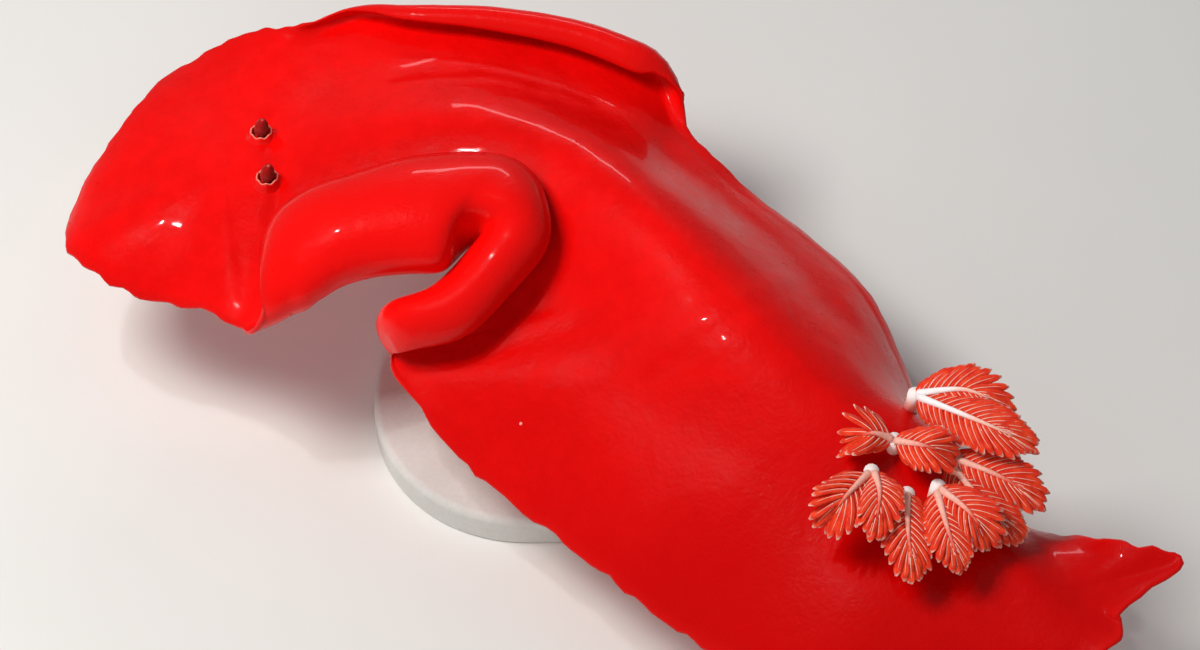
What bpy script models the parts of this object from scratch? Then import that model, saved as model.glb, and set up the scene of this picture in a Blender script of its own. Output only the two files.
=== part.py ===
# A Spanish dancer sea slug in its swimming pose, life size, on a small display stand.
# Metres, +Z up. The head points to -X, and the middle of the stand's underside is the origin.
# Sizes below are in millimetres, and heights of the animal are measured from its swimming level.

import math

import bmesh
import bpy
import numpy as np
from mathutils import Vector
from mathutils.bvhtree import BVHTree

MM = 0.001
SWIM_LEVEL = 50.0  # height of the swimming level above the floor
JOIN_GAP = 0.32  # between parts that touch

# The midline of the back, from the nape to the tail: x, y, height of the mantle there, how far the
# body's hump stands above it, half the width of the body, and the height of the belly.
SPINE = [
    (-99, 54, 3, 1.0, 12.0, -10),
    (-78, 58, 5, 3.0, 12.0, -11),
    (-57, 61, 7, 5.5, 12.0, -12),
    (-35, 59, 8, 7.0, 12.0, -13),
    (-13, 47, 8, 8.0, 13.0, -14),
    (7, 26, 7, 8.5, 15.0, -15),
    (27, 1, 5, 7.5, 15.5, -16),
    (44, -18, 3, 5.5, 12.0, -17),
    (62, -33, 1, 3.5, 9.5, -17),
    (77, -50, -1, 2.5, 6.5, -15),
    (90, -65, -2, 1.0, 4.0, -12),
]

# The line where the mantle's margin begins, once round the animal from the middle of the front,
# down its left side to the tail and back up its right side: x, y, height, and the share of the
# midline that this stretch of mantle grows from.
BRIM = [
    (-131, 41, -3, 0),
    (-123, 32, -4, 0),
    (-112, 27, -4, 0),
    (-101, 21.5, -4, 0),
    (-93, 16, -3, 0),
    (-87, 13.5, -1, 0.03),
    (-82.5, 17.5, 1, 0.055),
    (-78, 22, 3, 0.10),
    (-70, 26, 5, 0.17),
    (-58, 29, 6, 0.23),
    (-46, 31, 6, 0.285),
    (-35, 33, 6, 0.34),
    (-28, 25, 4, 0.41),
    (-34, 16, 1, 0.475),
    (-43.5, 8, -3, 0.52),
    (-53, 3, -6, 0.55),
    (-49, -1, -9.5, 0.565),
    (-41, -9, -13, 0.585),
    (-28, -22, -15, 0.63),
    (-10, -38, -16, 0.68),
    (7, -53, -16, 0.735),
    (24, -65, -15, 0.79),
    (44, -75, -13, 0.855),
    (67, -80, -10, 0.925),
    (87, -79, -6, 0.98),
    (98, -73, -3, 1),
    (106, -66, 0, 1),
    (116, -61, 2, 1),
    (103, -56, 0.5, 1),
    (91, -48, -4.5, 0.96),
    (83.5, -37, -13, 0.90),
    (76, -24, -19, 0.82),
    (67.5, -6, -17, 0.75),
    (55.5, 25, -11, 0.68),
    (41.5, 42.5, -8, 0.61),
    (23, 56, -5, 0.54),
    (11, 71, -2, 0.49),
    (6.5, 82, 1, 0.465),
    (-1, 86, 4, 0.44),
    (-16, 92, 6, 0.38),
    (-36, 96, 7, 0.30),
    (-56, 98, 7, 0.21),
    (-71, 100, 6, 0.14),
    (-84, 93, 5, 0.08),
    (-98, 91.5, 3, 0),
    (-111.5, 84, 1, 0),
    (-120, 70, -1, 0),
    (-129, 55, -2, 0),
]
FRONT_LEFT, REAR_LEFT, REAR_RIGHT, FRONT_RIGHT = 4, 25, 28, 44  # the corners of BRIM

# The margin itself, keyed by its place in BRIM: how wide it is, how far it curls, in degrees
# (270 is a roll that lies on the back), and how much wider than high the curl is.
MARGIN = [
    (0, 8, -20, 1.0),
    (4.3, 5, -10, 1.0),
    (4.9, 13, 150, 1.0),
    (5.6, 27, 235, 1.1),
    (6.4, 38, 248, 1.25),
    (7.4, 42, 250, 1.3),
    (8.5, 43, 250, 1.3),
    (10.0, 48, 250, 1.35),
    (11.0, 28, 260, 0.85),
    (12.0, 29, 270, 0.9),
    (14.0, 30, 270, 1.0),
    (14.5, 28, 270, 1.0),
    (15.0, 23, 262, 1.0),
    (15.3, 16, 250, 1.0),
    (15.6, 7, 200, 1.0),
    (16.0, 4, 40, 1.0),
    (17.0, 6.5, -12, 1.0),
    (21.0, 8, -15, 1.0),
    (25.0, 7, 10, 1.0),
    (27.0, 2.5, 5, 1.0),
    (29.0, 5, -10, 1.0),
    (31.0, 5, -20, 1.0),
    (33.5, 4, -20, 1.0),
    (35.0, 4.5, -5, 1.0),
    (36.0, 3, 20, 1.0),
    (36.8, 9, 170, 1.0),
    (37.7, 15.5, 245, 1.0),
    (39.0, 14.5, 250, 1.0),
    (41.0, 10, 220, 1.0),
    (42.5, 4, 120, 1.0),
    (43.5, 6, 10, 1.0),
    (45.0, 9, -15, 1.0),
    (48, 8, -20, 1.0),
]
# How far the mantle lies level where it meets the margin, keyed by its place in BRIM.
SHOULDER = [
    (0, 0),
    (3.5, 0),
    (6, 1),
    (14.5, 1),
    (17.5, 0),
    (34.5, 0),
    (38, 1),
    (41, 1),
    (44, 0),
    (48, 0),
]
# Which way the rolled left margin faces, in degrees from +X, keyed by its place in BRIM.
ROLL_BEARING = [
    (5, 292),
    (6, 298),
    (7, 292),
    (8, 287),
    (9, 284),
    (10, 270),
    (11, 229),
    (12, 165),
    (13, 131),
    (14, 127),
    (15, 130),
]
HUMP_REACH = 2.3  # where the body's hump has died away, in half widths of the body
RUFFLE, RUFFLES = 1.2, 18  # the flat margin's waves: their height, and how many go round
MANTLE_ROOT, MANTLE_BRIM, MANTLE_EDGE = 4.5, 2.2, 1.2  # how thick the mantle is
THINNEST_ROLL = 0.42  # the thickness of a tight roll, as a share of its radius
# Half of the foot's cross-section: how far out, in half widths of the body, and how far down.
FOOT_OUTLINE = [
    (0, 0),
    (0.35, 0),
    (0.7, 0),
    (0.95, 0.6),
    (1.08, 1.8),
    (0.95, 3.4),
    (0.55, 5),
    (0.2, 5),
    (0, 4.2),
]
FRONT_WIDENING, TAIL_WIDENING = 0.25, 1.6  # how much wider the foot is there
POSE_X, POSE_Y = 6.0, -20.0  # moves the animal so that its weight is over the stand

# Cuts between the lengths of the body, as shares of the midline.
HEAD_END, FRONT_END, MIDDLE_END, FOOT_FRONT_END, FOOT_MIDDLE_END = 0.09, 0.36, 0.66, 0.36, 0.7

# Each gill: its stalk, and its plumes, each with half its width and the points of its shaft.
GILLS = [
    ([(63, -16, 3), (63, -19.5, 10)], [
        (4.6, (63, -19.5, 10), (73.5, -21, 16), (83, -25.5, 15)),
        (4.8, (63, -20, 10), (76, -31.5, 16), (87, -37, 15)),
    ]),
    ([(69.5, -31, 2), (70, -35.5, 8)], [
        (4.6, (70, -35.5, 8), (80, -42, 10), (88.5, -47, 8)),
        (4.4, (69.5, -36, 7), (76.5, -48, 8), (84, -54, 5)),
    ]),
    ([(66, -41, 0), (66.5, -44, 9)], [
        (4.4, (66.5, -44.5, 9), (73, -53, 12), (78, -59, 9)),
        (3.6, (66, -45, 9), (67.5, -57, 11), (70, -64, 8)),
    ]),
    ([(59.5, -43, 1), (59.5, -46, 9)], [
        (4.2, (59.5, -45.5, 9), (59, -57, 9.5), (60, -67, 6)),
    ]),
    ([(53, -36, 3), (52, -40, 9)], [
        (5.0, (51.5, -41, 10), (45.5, -50, 13), (40.5, -53, 10)),
        (4.0, (52.5, -41, 10), (53, -49, 13), (51.5, -58, 11)),
    ]),
    ([(58, -30, 3), (57.5, -32, 10)], [
        (4.4, (57, -32, 10), (52.5, -31.5, 13), (48, -29.5, 11)),
        (4.2, (57.5, -32.5, 10), (63, -36.5, 14), (69, -37.5, 12)),
    ]),
]

BASE_LENGTH, BASE_DEPTH, BASE_HEIGHT, BASE_CORNER = 116.0, 80.0, 9.0, 38.0
ROD_RADIUS = 2.5
RODS = {"stand_rod_front": (-24, 51), "stand_rod_rear": (26, 2)}

PLUME_SPREAD = 0.88  # how much of a plume's shaft carries filaments
FILAMENT_SPACING, FILAMENT_WIDTH = 2.9, 2.3

FLESH = (0.72, 0.02, 0.012)
FLESH_DARK = (0.5, 0.012, 0.01)
GILL = (0.85, 0.25, 0.16)
STAND = (0.75, 0.73, 0.7)
STEEL = (0.56, 0.56, 0.55)


def smooth(start, end, value):
    share = np.clip((np.asarray(value, float) - start) / (end - start), 0, 1)
    return share * share * (3 - 2 * share)


# A smooth curve through the rows of a table. place counts rows, and a closed table runs on past its end.
def passing(table, place, closed=False):
    count = len(table)
    first = math.floor(place) if closed else min(max(int(place), 0), count - 2)
    share = place - first
    picks = [first - 1, first, first + 1, first + 2]
    if closed:
        picks = [pick % count for pick in picks]
    else:
        picks = [min(max(pick, 0), count - 1) for pick in picks]
    before, start, end, after = (np.array(table[pick], float) for pick in picks)
    return (
        start
        + 0.5 * share * (end - before)
        + share**2 * (before - 2.5 * start + 2 * end - 0.5 * after)
        + 0.5 * share**3 * (after - before + 3 * (start - end))
    )


# The slopes of a keyed table's columns at a key. They are level at a peak or a dip, so nothing overshoots.
def slopesAt(table, index):
    if index in (0, len(table) - 1):
        return np.zeros(len(table[0]) - 1)
    before, here, after = (np.array(row, float) for row in table[index - 1 : index + 2])
    first = (here - before)[1:] / (here[0] - before[0])
    second = (after - here)[1:] / (after[0] - here[0])
    level = first * second <= 0
    return np.where(level, 0, 2 * first * second / np.where(level, 1, first + second))


# The values of a keyed table at a place, on one smooth curve through the keys.
def keyed(table, place):
    keys = [row[0] for row in table]
    index = int(np.clip(np.searchsorted(keys, place, side="right") - 1, 0, len(keys) - 2))
    start, end = (np.array(row[1:], float) for row in table[index : index + 2])
    span = keys[index + 1] - keys[index]
    share = min(max((place - keys[index]) / span, 0.0), 1.0)
    leaving = slopesAt(table, index) * span * share * (1 - share) ** 2
    arriving = slopesAt(table, index + 1) * span * share**2 * (1 - share)
    return start + (end - start) * share**2 * (3 - 2 * share) + leaving - arriving


# One line of the mantle, from the midline out over the brim to the edge.
class Ray:
    def __init__(self, place, share=None):
        self.place = place = place % len(BRIM)
        x, y, level, own = passing(BRIM, place, closed=True)
        self.share = min(max(own if share is None else share, 0.0), 1.0)
        spine = passing(SPINE, self.share * (len(SPINE) - 1))
        self.start = spine[:2]
        self.height, self.hump, self.halfWidth, self.belly = spine[2:]
        self.width, angle, self.stretch = keyed(MARGIN, place)
        self.curl = math.radians(angle if abs(angle) > 0.1 else 0.1)
        self.rolled = float(keyed(SHOULDER, place)[0])
        self.level = level + (1 - self.rolled) * RUFFLE * math.sin(RUFFLES * place * math.tau / len(BRIM))
        span = np.array([x, y]) - self.start
        self.length = float(np.hypot(*span))
        self.along = span / self.length
        self.drop = self.height - self.level
        self.steepness = 2 + 2 * float(smooth(0.5, 1.2, self.drop / self.length))
        self.facing = self.facingOf()

    # The direction that the margin faces: square to the brim, or as given where the left side is rolled.
    def facingOf(self):
        ahead = passing(BRIM, self.place + 0.3, closed=True) - passing(BRIM, self.place - 0.3, closed=True)
        square = math.degrees(math.atan2(-ahead[0], ahead[1]))
        given = float(keyed(ROLL_BEARING, min(max(self.place, 5), 15))[0])
        weight = float(smooth(4.2, 5, self.place) * (1 - smooth(15.2, 16, self.place)))
        turned = math.radians(square + weight * ((given - square + 180) % 360 - 180))
        return np.array([math.cos(turned), math.sin(turned)])

    # A point of the upper face. Rows 0 to 1 run from the midline to the brim, and 1 to 2 across the margin.
    def at(self, row):
        reach = min(row, 1.0)
        away = reach * self.length
        fall = (1 - self.rolled) * (1 - reach**self.steepness)
        fall += self.rolled * math.cos(reach * math.pi / 2) ** 2
        hump = self.hump * (1 - smooth(0, HUMP_REACH * self.halfWidth, away))
        base = np.array([*(self.start + self.along * away), self.level + self.drop * fall + hump])
        if row <= 1:
            return base
        slope = math.atan2(-self.steepness * (1 - self.rolled) * self.drop, self.length)
        outward = np.array([*(self.facing * math.cos(slope)), math.sin(slope)])
        upward = np.array([*(-self.facing * math.sin(slope)), math.cos(slope)])
        turn = self.curl * (row - 1)
        wide = self.stretch * self.width / self.curl
        high = self.width / (self.stretch * self.curl)
        return base + outward * wide * math.sin(turn) + upward * high * (1 - math.cos(turn))

    # The row where the body's side is.
    def wallRow(self, gap=0.0):
        return min(self.halfWidth + gap, 0.8 * self.length) / self.length


# The places on one side of the brim where the mantle grows from these shares of the midline.
def placesOf(side, shares):
    ends = (FRONT_LEFT, REAR_LEFT) if side == "left" else (FRONT_RIGHT, REAR_RIGHT)
    places = np.linspace(*ends, 600)
    found = np.maximum.accumulate([Ray(place).share for place in places]) + np.arange(600) * 1e-9
    return [float(place) for place in np.interp(shares, found, places)]


def material(name, colour, roughness, coat=0.0, metallic=0.0):
    made = bpy.data.materials.new(name)
    made.use_nodes = True
    shader = made.node_tree.nodes["Principled BSDF"]
    shader.inputs["Base Color"].default_value = (*colour, 1)
    shader.inputs["Roughness"].default_value = roughness
    shader.inputs["Metallic"].default_value = metallic
    shader.inputs["Coat Weight"].default_value = coat
    return made


# Makes a node of points in millimetres above the swimming level, and faces.
def solid(name, points, faces, finish, lift=SWIM_LEVEL):
    mesh = bpy.data.meshes.new(name)
    raised = [((x + POSE_X) * MM, (y + POSE_Y) * MM, (z + lift) * MM) for x, y, z in points]
    mesh.from_pydata(raised, [], faces)
    shape = bmesh.new()
    shape.from_mesh(mesh)
    bmesh.ops.remove_doubles(shape, verts=shape.verts, dist=2e-6)
    bmesh.ops.dissolve_degenerate(shape, edges=shape.edges, dist=1e-6)
    bmesh.ops.triangulate(shape, faces=[face for face in shape.faces if len(face.verts) > 3])
    bmesh.ops.recalc_face_normals(shape, faces=shape.faces)
    if shape.calc_volume(signed=True) < 0:
        bmesh.ops.reverse_faces(shape, faces=shape.faces)
    shape.to_mesh(mesh)
    shape.free()
    mesh.shade_smooth()
    mesh.materials.append(finish)
    made = bpy.data.objects.new(name, mesh)
    bpy.context.collection.objects.link(made)
    return made


# Faces between two grids of points that lie over one another, split into triangles alike on both.
def sheetFaces(upper, under):
    columns, rows = upper.shape[:2]
    size = columns * rows

    def number(column, row, layer):
        return layer * size + column * rows + row

    faces = []
    for column in range(columns - 1):
        for row in range(rows - 1):
            corners = [(column, row), (column + 1, row), (column + 1, row + 1), (column, row + 1)]
            one = np.linalg.norm(upper[corners[0]] - upper[corners[2]])
            other = np.linalg.norm(upper[corners[1]] - upper[corners[3]])
            picks = ((0, 1, 2), (0, 2, 3)) if one < other else ((0, 1, 3), (1, 2, 3))
            for pick in picks:
                top = [number(*corners[corner], 0) for corner in pick]
                faces.append(top)
                faces.append([index + size for index in reversed(top)])
    rim = [(column, 0) for column in range(columns)]
    rim += [(columns - 1, row) for row in range(1, rows)]
    rim += [(column, rows - 1) for column in range(columns - 2, -1, -1)]
    rim += [(0, row) for row in range(rows - 2, 0, -1)]
    for first, second in zip(rim, rim[1:] + rim[:1]):
        low, lower = number(*first, 1), number(*second, 1)
        faces += [(number(*first, 0), low, lower), (number(*first, 0), lower, number(*second, 0))]
    return faces


def sheet(name, upper, under, finish):
    points = np.concatenate([upper.reshape(-1, 3), under.reshape(-1, 3)])
    return solid(name, points, sheetFaces(upper, under), finish)


# How thick the mantle is at a row.
def mantleThickness(ray, row):
    rollRadius = ray.width / abs(ray.curl)
    if row > 1:
        return min(MANTLE_BRIM + (MANTLE_EDGE - MANTLE_BRIM) * (row - 1), THINNEST_ROLL * rollRadius)
    share = (row - ray.wallRow()) / (1 - ray.wallRow())
    root = min(MANTLE_ROOT, 0.25 * ray.length)
    return root + (min(MANTLE_BRIM, THINNEST_ROLL * rollRadius) - root) * float(smooth(0, 0.8, share))


# The points of one column of the mantle, above and below. side shifts them across the column by
# half the gap to a neighbour: 1 and -1 at the two ends of a piece, and 0 between.
def mantleColumn(place, side, inner, outer):
    step = 0.01
    before, ray, after = Ray(place - step), Ray(place), Ray(place + step)
    root = ray.wallRow(JOIN_GAP / 2)
    rows = [root + (1 - root) * index / inner for index in range(inner)]
    rows += [1 + index / outer for index in range(outer + 1)]
    upper, under = [], []
    for row in rows:
        point = ray.at(row)
        onward = after.at(row) - before.at(row)
        outward = ray.at(min(row + step, 2)) - ray.at(row - step)
        outward /= np.linalg.norm(outward)
        onward -= outward * (onward @ outward)
        onward /= np.linalg.norm(onward)
        normal = np.cross(outward, onward)
        upright = 1 - float(smooth(0, 0.6, (row - root) / (1 - root)))
        normal = normal * (1 - upright) + np.array([0, 0, 1]) * upright
        point = point + onward * side * JOIN_GAP / 2
        upper.append(point)
        under.append(point - normal / np.linalg.norm(normal) * mantleThickness(ray, row))
    return upper, under


def mantlePiece(name, places, inner, outer, finish):
    sides = [1] + [0] * (len(places) - 2) + [-1]
    columns = [mantleColumn(place, side, inner, outer) for place, side in zip(places, sides)]
    upper = np.array([column[0] for column in columns])
    under = np.array([column[1] for column in columns])
    return sheet(name, upper, under, finish)


# Half of the body's cross-section under one line of the mantle, from the midline over the side to the belly.
def bodyHalf(ray, wall):
    wide = ray.halfWidth - JOIN_GAP / 2
    points = []
    for share in (0, 0.3, 0.55, 0.8, 1):
        points.append(ray.at(share * wide / ray.length))
    shoulder = points[-1][2] - MANTLE_ROOT
    for drop, narrowed in wall(ray):
        out = ray.start + ray.along * wide * narrowed
        points.append(np.array([*out, shoulder + (ray.belly - shoulder) * drop]))
    for narrowed in (0.35, 0):
        points.append(np.array([*(ray.start + ray.along * wide * narrowed), ray.belly]))
    return points


# The side of the body on its way down: how far down, and how wide there as a share of the half width.
def plainWall(ray):
    return ((0, 1), (0.3, 0.86), (0.7, 0.76), (1, 0.7))


# The head's side, which swells into two lips at the front, with the line of the mouth between them.
def lippedWall(ray):
    forward = -tangentOf(0)[:2]
    lips = float(smooth(0.84, 0.96, ray.along @ forward)) * (ray.share == 0)
    drops = (0, 0.22, 0.38, 0.48, 0.58, 0.76, 1)
    plain = (1, 0.9, 0.85, 0.82, 0.8, 0.75, 0.7)
    lipped = (1, 1.1, 1.2, 0.86, 1.14, 1.1, 0.85)
    return [(drop, side + (lip - side) * lips) for drop, side, lip in zip(drops, plain, lipped)]


# Half of the foot's cross-section under one line of the mantle. The foot has no wall of its own to shape.
def footHalf(ray, wall):
    wide = ray.halfWidth * (1 + FRONT_WIDENING * (ray.share == 0))
    if ray.share == 1:
        wide *= 1 + TAIL_WIDENING * float(smooth(0.5, 1, ray.along[0]))
    top = ray.belly - JOIN_GAP
    return [np.array([*(ray.start + ray.along * wide * out), top - down]) for out, down in FOOT_OUTLINE]


# A body from strips of half-sections that share the midline, with a flat end across each strip's ends.
def lofted(name, strips, finish):
    points, faces = [], []
    for strip in strips:
        first = len(points)
        rows = len(strip[0])
        for half in strip:
            points += half
        for column in range(len(strip) - 1):
            for row in range(rows - 1):
                corner = first + column * rows + row
                faces.append((corner, corner + rows, corner + rows + 1, corner + 1))
        faces.append(tuple(first + row for row in range(rows)))
        last = first + (len(strip) - 1) * rows
        faces.append(tuple(last + row for row in reversed(range(rows))))
    return solid(name, points, faces, finish)


# The sides of the body over a stretch of the midline, as strips of half-sections. A stretch that starts
# at 0 runs on round the front, and one that ends at 1 runs on round the rear.
def bodyStrips(start, end, section, wall):
    shares = [share for share in SHARES if start <= share <= end]
    fronts = FRONT_PLACES
    if section is footHalf:
        shares = [share for share in shares if share in (start, end) or share in FOOT_SHARES]
        fronts = FRONT_PLACES[::2]
    halves = {}
    for side in ("left", "right"):
        halves[side] = []
        for share, place in zip(shares, placesOf(side, shares)):
            half = section(Ray(place, share), wall)
            shift = (share == start) - (share == end)
            if shift:
                along = tangentOf(share) * shift * JOIN_GAP / 2
                half = [point + along for point in half]
            halves[side].append(half)
    front = [section(Ray(place), wall) for place in fronts]
    rear = [section(Ray(place), wall) for place in REAR_PLACES]
    if start == 0:
        return [halves["right"][::-1] + front + halves["left"]]
    if end == 1:
        return [halves["left"] + rear + halves["right"][::-1]]
    return [halves["left"], halves["right"][::-1]]


def tangentOf(share):
    last = len(SPINE) - 1
    ahead = passing(SPINE, min(share + 0.01, 1) * last) - passing(SPINE, max(share - 0.01, 0) * last)
    return np.array([*(ahead[:2] / np.hypot(*ahead[:2])), 0])


# A mantle piece between two places of the margin, with a column at each place of the body's sections.
def mantleBetween(name, start, end, inner, outer, finish):
    between = [place for place in ALL_PLACES if start + 0.05 < place < end - 0.05]
    return mantlePiece(name, [start] + between + [end], inner, outer, finish)


# The height of an object's surface over a point, looking down from above or up from below.
class Surface:
    def __init__(self, *objects):
        points, faces = [], []
        for thing in objects:
            first = len(points)
            points += [vertex.co.copy() for vertex in thing.data.vertices]
            faces += [[first + index for index in face.vertices] for face in thing.data.polygons]
        self.tree = BVHTree.FromPolygons(points, faces)

    def height(self, x, y, down=True):
        beside = 1.5 * JOIN_GAP  # a ray that passes through a gap between two parts is tried again beside it
        for dx, dy in ((0, 0), (beside, 0), (-beside, 0), (0, beside), (0, -beside)):
            start = Vector(((x + dx + POSE_X) * MM, (y + dy + POSE_Y) * MM, 0.2 if down else 0.0))
            hit = self.tree.ray_cast(start, Vector((0, 0, -1 if down else 1)))[0]
            if hit:
                return hit.z / MM - SWIM_LEVEL

    # A point a gap off the surface, on the way from another point in a direction.
    def clearOf(self, point, direction, gap):
        x, y, z = point
        start = Vector(((x + POSE_X) * MM, (y + POSE_Y) * MM, (z + SWIM_LEVEL) * MM))
        hit = self.tree.ray_cast(start, Vector(direction))[0]
        place = np.array([hit.x / MM - POSE_X, hit.y / MM - POSE_Y, hit.z / MM - SWIM_LEVEL])
        return place - np.array(direction) * gap


# A closed body from rings of points, the first and last of them closed with a face.
def ringed(name, rings, finish):
    around = len(rings[0])
    points = [point for ring in rings for point in ring]
    faces = [tuple(range(around))[::-1]]
    for ring in range(len(rings) - 1):
        for step in range(around):
            corner, beside = ring * around + step, ring * around + (step + 1) % around
            faces.append((corner, beside, beside + around, corner + around))
    faces.append(tuple((len(rings) - 1) * around + step for step in range(around)))
    return solid(name, points, faces, finish)


def unit(vector):
    return vector / np.linalg.norm(vector)


# A point and a direction on the curve through the points of a path. share runs from 0 to 1.
def pathAt(path, share):
    place = share * (len(path) - 1)
    point = passing(path, place)
    ahead = passing(path, min(place + 0.02, len(path) - 1)) - passing(path, max(place - 0.02, 0))
    return point, unit(ahead)


# Rings of a tapered tube along a path. Each ring starts on the side that the reference direction points to.
def tubeRings(path, radii, steps, around, reference):
    rings = []
    for step in range(steps + 1):
        point, ahead = pathAt(path, step / steps)
        side = unit(np.array(reference) - ahead * (ahead @ reference))
        other = np.cross(ahead, side)
        radius = float(np.interp(step / steps, np.linspace(0, 1, len(radii)), radii))
        turns = [math.tau * index / around for index in range(around)]
        rings.append([point + (side * math.cos(turn) + other * math.sin(turn)) * radius for turn in turns])
    return rings


# Joins pieces into one closed body, and drops any scrap that doesn't reach it.
def fuse(name, pieces):
    host, others = pieces[0], pieces[1:]
    group = bpy.data.collections.new(name + " pieces")
    bpy.context.scene.collection.children.link(group)
    for piece in others:
        bpy.context.collection.objects.unlink(piece)
        group.objects.link(piece)
    joint = host.modifiers.new("Join", "BOOLEAN")
    joint.operation = "UNION"
    joint.operand_type = "COLLECTION"
    joint.collection = group
    joint.solver = "MANIFOLD"
    graph = bpy.context.evaluated_depsgraph_get()
    mesh = bpy.data.meshes.new_from_object(host.evaluated_get(graph), depsgraph=graph)
    host.modifiers.clear()
    host.data = mesh
    host.name = name
    for piece in others:
        bpy.data.objects.remove(piece)
    bpy.data.collections.remove(group)
    keepLargest(host)
    return host


def keepLargest(made):
    shape = bmesh.new()
    shape.from_mesh(made.data)
    unseen, islands = set(shape.faces), []
    while unseen:
        island, front = set(), [unseen.pop()]
        while front:
            face = front.pop()
            island.add(face)
            near = {other for edge in face.edges for other in edge.link_faces} & unseen
            unseen -= near
            front += near
        islands.append(island)
    islands.sort(key=lambda island: sum(face.calc_area() for face in island))
    dropped = [face for island in islands[:-1] for face in island]
    bmesh.ops.delete(shape, geom=dropped, context="FACES")
    shape.to_mesh(made.data)
    shape.free()


# A sense organ that stands in a low frilled cup: a club of thin plates, turned on its own axis.
def rhinophore(name, x, y, ground, finish):
    cup = [(2.2, 0), (3.6, 0), (3.7, 0.8), (3.5, 2.0), (3.0, 2.3), (2.5, 1.2), (1.4, 0.9), (1.1, 1.3)]
    plates = []
    for plate in range(4):
        wide, level = 1.9 - 0.16 * plate, 1.8 + 0.95 * plate
        plates += [(wide, level), (wide - 0.45, level + 0.45)]
    profile = cup + plates + [(0.9, 5.7)]
    rim = (3, 4)  # the rows of the cup's frilled rim
    around = 12
    rings = []
    for index, (radius, height) in enumerate(profile):
        ring = []
        for step in range(around):
            turn = math.tau * step / around
            frill = 0.45 * math.sin(3 * turn + x) * (index in rim)
            px, py = x + radius * math.cos(turn), y + radius * math.sin(turn)
            ring.append((px, py, ground.height(px, py) + JOIN_GAP + height + frill))
        rings.append(ring)
    return ringed(name, rings, finish)


# A broad lobe with a notched edge on one side of the mouth, thickest at its root, which follows the head.
def oralTentacle(name, side, ground, finish):
    forward = -tangentOf(0)
    outward = np.array([forward[1], -forward[0], 0]) * side
    root = np.array([*SPINE[0][:2], -5.0]) + forward * 10 + outward * 9.5
    ahead = unit(forward * 0.62 + outward * 0.76 + np.array([0, 0, -0.12]))
    across = unit(np.cross(ahead, (0, 0, 1)))
    columns, rows = 13, 5
    upper, under = [], []
    for column in range(columns):
        share = 2 * column / (columns - 1) - 1
        reach = 13 * (1 - 0.45 * share**2) * (1 + 0.1 * math.cos(7 * math.pi * share))
        top, bottom = [], []
        for row in range(rows):
            out = row / (rows - 1)
            spread = 3.2 + 5.5 * float(smooth(0, 0.8, out))
            point = root + ahead * reach * out + across * share * spread
            point = point - np.array([0, 0, 2.2 * out**2 + 0.8 * share**2])
            thick = (2.8 * (1 - out) + 0.9 * out) * (1 - 0.35 * abs(share))
            for points, lift in ((top, thick / 2), (bottom, -thick / 2)):
                edge = point + np.array([0, 0, lift])
                if row == 0:
                    edge = ground.clearOf(edge + ahead * 5, -ahead, 2.2 * JOIN_GAP)
                points.append(edge)
        upper.append(top)
        under.append(bottom)
    return sheet(name, np.array(upper), np.array(under), finish)


# One filament of a plume: a flat blade that runs out from the shaft, bends forward and tapers to a point.
def filament(root, outward, ahead, normal, reach, width, finish):
    centres = [root]
    for out, forward, sink in ((0.4, 0.16, 0.04), (0.8, 0.42, 0.2)):
        centres.append(root + (outward * out + ahead * forward - normal * sink) * reach)
    tip = root + (outward + ahead * 0.62 - normal * 0.34) * reach
    rings = []
    for index, (wide, thick) in enumerate(((0.9, 0.9), (1, 0.85), (0.76, 0.7))):
        onward = unit((centres + [tip])[index + 1] - centres[index])
        side = unit(np.cross(normal, onward)) * wide * width / 2
        over = unit(np.cross(onward, side)) * thick
        rings.append([centres[index] + side, centres[index] + over, centres[index] - side])
    points = [point for ring in rings for point in ring] + [tip]
    faces = [(0, 1, 2), (6, 7, 9), (7, 8, 9), (8, 6, 9)]
    for corner in range(3):
        beside = (corner + 1) % 3
        for ring in (0, 3):
            faces.append((ring + beside, ring + corner, ring + corner + 3, ring + beside + 3))
    return solid("filament", points, faces, finish)


# One plume of a gill: a tapered shaft with a row of filaments on each side, cupped like a leaf.
def plume(path, halfWidth, finish):
    pieces = [ringed("shaft", tubeRings(path, (1.15, 0.95, 0.45), 4, 5, (0.0, 0.0, 1.0)), finish)]
    length = sum(float(np.linalg.norm(end - start)) for start, end in zip(path, path[1:]))
    pairs = round(PLUME_SPREAD * length / FILAMENT_SPACING)
    for number in range(2 * pairs):
        side = 1 if number % 2 else -1
        share = 0.04 + PLUME_SPREAD * (number + 0.5) / (2 * pairs)
        point, ahead = pathAt(path, share)
        across = unit(np.cross(ahead, (0.0, -0.35, 0.94)))
        normal = np.cross(across, ahead)
        reach = halfWidth * (0.45 + 0.6 * math.sin(math.pi * min(share * 1.1, 1) ** 0.75))
        root = point + across * side * 0.25
        pieces.append(filament(root, across * side, ahead, normal, reach, FILAMENT_WIDTH, finish))
    return pieces


def gill(name, stalk, plumes, ground, finish):
    x, y = stalk[0][:2]
    radius = 1.4
    foot = []
    for step in range(8):
        turn = math.tau * step / 8
        px, py = x + 1.25 * radius * math.cos(turn), y + 1.25 * radius * math.sin(turn)
        foot.append(np.array([px, py, ground.height(px, py) + JOIN_GAP]))
    level = max(point[2] for point in foot)
    path = [np.array([x, y, level + 1.2]), np.array(stalk[1], float)]
    rings = [foot] + tubeRings(path, (radius, 1.3 * radius), 2, 8, (1.0, 0.0, 0.0))
    pieces = [ringed("stalk", rings, finish)]
    for halfWidth, *points in plumes:
        pieces += plume([np.array(point, float) for point in points], halfWidth, finish)
    return fuse(name, pieces)


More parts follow.
